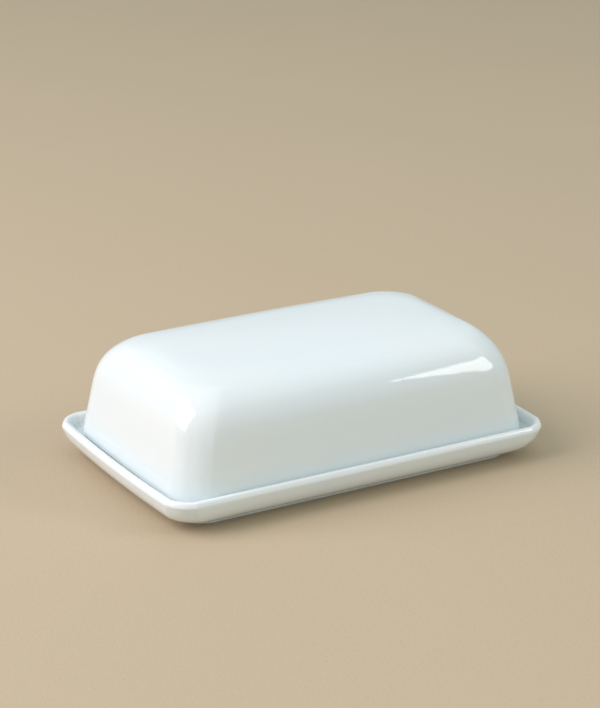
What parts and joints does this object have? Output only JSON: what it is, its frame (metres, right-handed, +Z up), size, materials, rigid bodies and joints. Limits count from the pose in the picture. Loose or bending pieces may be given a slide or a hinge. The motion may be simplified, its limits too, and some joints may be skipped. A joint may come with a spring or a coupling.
{
  "type": "butter dish",
  "caption": "Rectangular lidded butter dish in white glazed porcelain: a low footed tray, and a hollow handleless lid with full rounded shoulders that lifts straight off.",
  "frame": {"origin": "centre of the foot ring's underside, on the table", "axes": "+Z up, the way the lid lifts; +X along the dish's length; Y across it"},
  "size_m": [0.19, 0.12, 0.0591],
  "materials": {
    "tray_glaze": "clear gloss glaze over white porcelain, bare on the foot ring's underside",
    "lid_glaze": "clear gloss glaze over white porcelain, bare on the rim's underside"
  },
  "bodies": {
    "tray": {"tray": "tray_glaze"},
    "lid": {"lid": "lid_glaze"}
  },
  "joints": [
    {"name": "lid_lift", "type": "slide", "parent": "tray", "child": "lid", "axis": [0, 0, 1], "range_m": [0, 0.1]}
  ]
}
